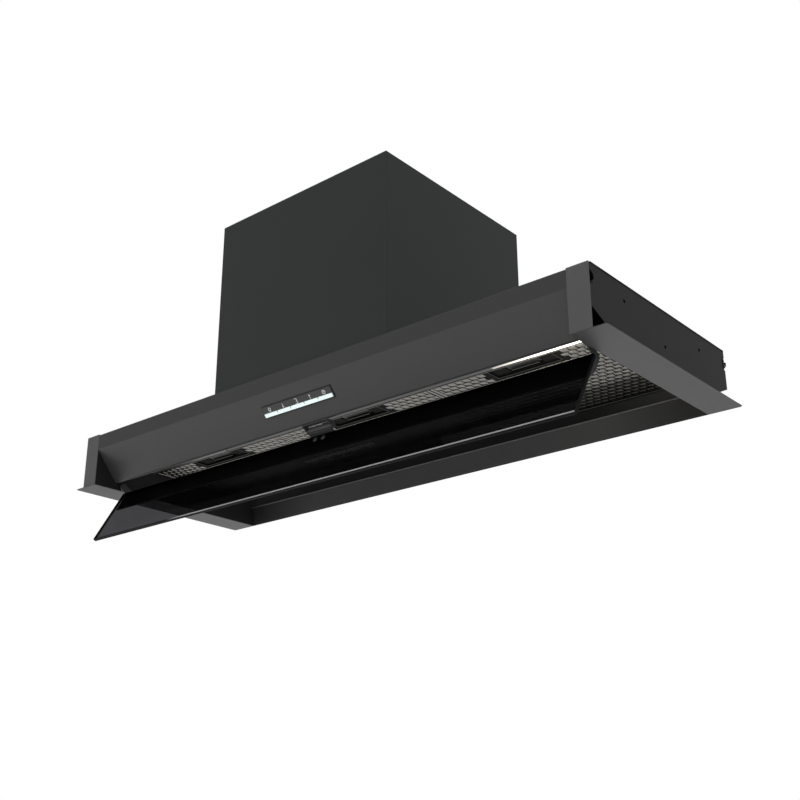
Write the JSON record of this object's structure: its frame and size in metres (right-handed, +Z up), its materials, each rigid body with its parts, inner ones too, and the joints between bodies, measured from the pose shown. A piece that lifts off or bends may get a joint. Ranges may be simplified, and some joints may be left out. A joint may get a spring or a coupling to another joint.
{
  "type": "built-in range hood",
  "caption": "Slim built-in range hood: a flat charcoal canopy with side flanges, mesh grease filters, a tilting smoked glass visor and a square motor box on top.",
  "frame": {"origin": "centre of the cabinet cut-out, in the plane where the side flanges meet the underside of the cabinet", "axes": "+X to the right seen from the front, +Y to the back wall, +Z up into the cabinet"},
  "size_m": [0.9, 0.316, 0.4744],
  "materials": {
    "canopy_paint": "satin charcoal powder coat",
    "flange_paint": "satin charcoal powder coat",
    "box_paint": "satin black powder coat",
    "inner_paint": "satin black powder coat",
    "plate_black": "gloss black",
    "key_white": "satin white",
    "lens_on": "milky lens, lit",
    "lens_off": "smoked lens, unlit",
    "lamp_alloy": "satin",
    "filter_mesh": "dull aluminium mesh",
    "smoked_glass": "polished smoked glass",
    "rail_black": "matt black",
    "hinge_steel": "satin dark steel",
    "pin_steel": "bright steel",
    "clip_steel": "blackened spring steel",
    "black_plastic": "matt black",
    "grey_plastic": "light grey",
    "board_green": "circuit board",
    "motor_alloy": "cast alloy",
    "rubber_black": "matt"
  },
  "bodies": {
    "hood": {"roof_plate": "box_paint", "side_wall_left": "inner_paint", "side_wall_right": "inner_paint", "back_wall": "inner_paint", "front_panel": "canopy_paint", "corner_post_left": "canopy_paint", "corner_post_right": "canopy_paint", "flange_left": "flange_paint", "flange_right": "flange_paint", "rear_panel": "inner_paint", "inner_side_left": "inner_paint", "inner_side_right": "inner_paint", "inner_front_panel": "inner_paint", "mounting_clips": "clip_steel", "lamp_housings": "lamp_alloy", "lamp_lens_left": "lens_off", "lamp_lens_right": "lens_on", "lamp_driver": "grey_plastic", "control_plate": "plate_black", "switch_board": "board_green", "electronics_box": "grey_plastic", "control_board": "board_green", "cable_gland": "black_plastic", "box_front": "box_paint", "box_back_panel": "box_paint", "box_left": "box_paint", "box_right": "box_paint", "box_lid": "box_paint", "lid_screws": "pin_steel", "outlet_spigot": "black_plastic", "damper_pin": "pin_steel", "scroll_left": "black_plastic", "scroll_right": "black_plastic", "motor": "motor_alloy", "motor_bracket": "lamp_alloy", "rubber_mounts": "rubber_black", "capacitor": "grey_plastic", "hinge_pins": "pin_steel", "middle_hinge_bracket": "hinge_steel"},
    "visor": {"visor_glass": "smoked_glass", "visor_rail": "rail_black", "hinge_arms": "hinge_steel", "middle_hinge_leaf": "hinge_steel", "glass_fasteners": "pin_steel"},
    "blower_wheel": {"impeller": "black_plastic", "motor_shaft": "pin_steel"},
    "damper_front": {"damper_flap_front": "black_plastic"},
    "damper_back": {"damper_flap_back": "black_plastic"},
    "key_1": {"key_1": "key_white"},
    "key_2": {"key_2": "key_white"},
    "key_3": {"key_3": "key_white"},
    "key_4": {"key_4": "key_white"},
    "key_5": {"key_5": "key_white"},
    "filter_left": {"filter_left": "filter_mesh"},
    "latch_left": {"latch_left": "black_plastic"},
    "filter_middle": {"filter_middle": "filter_mesh"},
    "latch_middle": {"latch_middle": "black_plastic"},
    "filter_right": {"filter_right": "filter_mesh"},
    "latch_right": {"latch_right": "black_plastic"}
  },
  "joints": [
    {"name": "visor_tilt", "type": "hinge", "parent": "hood", "child": "visor", "pos_m": [0, -0.1085, 0.004], "axis": [1, 0, 0], "range_deg": [0, 120]},
    {"name": "key_1_press", "type": "slide", "parent": "hood", "child": "key_1", "axis": [0, 0.7693, 0.6389], "range_m": [0, 0.0009], "stiffness_N_per_m": 400, "springref_m": -0.001},
    {"name": "key_2_press", "type": "slide", "parent": "hood", "child": "key_2", "axis": [0, 0.7693, 0.6389], "range_m": [0, 0.0009], "stiffness_N_per_m": 400, "springref_m": -0.001},
    {"name": "key_3_press", "type": "slide", "parent": "hood", "child": "key_3", "axis": [0, 0.7693, 0.6389], "range_m": [0, 0.0009], "stiffness_N_per_m": 400, "springref_m": -0.001},
    {"name": "key_4_press", "type": "slide", "parent": "hood", "child": "key_4", "axis": [0, 0.7693, 0.6389], "range_m": [0, 0.0009], "stiffness_N_per_m": 400, "springref_m": -0.001},
    {"name": "key_5_press", "type": "slide", "parent": "hood", "child": "key_5", "axis": [0, 0.7693, 0.6389], "range_m": [0, 0.0009], "stiffness_N_per_m": 400, "springref_m": -0.001},
    {"name": "filter_left_drop", "type": "hinge", "parent": "hood", "child": "filter_left", "pos_m": [-0.26827, 0.144, 0.0505], "axis": [1, 0, 0], "range_deg": [0, 6]},
    {"name": "latch_left_pull", "type": "slide", "parent": "filter_left", "child": "latch_left", "axis": [0, 1, 0], "range_m": [0, 0.006], "stiffness_N_per_m": 150, "springref_m": -0.004},
    {"name": "filter_middle_drop", "type": "hinge", "parent": "hood", "child": "filter_middle", "pos_m": [0, 0.144, 0.0505], "axis": [1, 0, 0], "range_deg": [0, 6]},
    {"name": "latch_middle_pull", "type": "slide", "parent": "filter_middle", "child": "latch_middle", "axis": [0, 1, 0], "range_m": [0, 0.006], "stiffness_N_per_m": 150, "springref_m": -0.004},
    {"name": "filter_right_drop", "type": "hinge", "parent": "hood", "child": "filter_right", "pos_m": [0.26827, 0.144, 0.0505], "axis": [1, 0, 0], "range_deg": [0, 6]},
    {"name": "latch_right_pull", "type": "slide", "parent": "filter_right", "child": "latch_right", "axis": [0, 1, 0], "range_m": [0, 0.006], "stiffness_N_per_m": 150, "springref_m": -0.004},
    {"name": "blower_spin", "type": "hinge", "parent": "hood", "child": "blower_wheel", "pos_m": [0, 0.01, 0.18741], "axis": [-1, 0, 0], "continuous": true},
    {"name": "damper_front_lift", "type": "hinge", "parent": "hood", "child": "damper_front", "pos_m": [0, -0.01, 0.355], "axis": [1, 0, 0], "range_deg": [-75, 0]},
    {"name": "damper_back_lift", "type": "hinge", "parent": "hood", "child": "damper_back", "pos_m": [0, -0.01, 0.355], "axis": [1, 0, 0], "range_deg": [0, 75]}
  ]
}
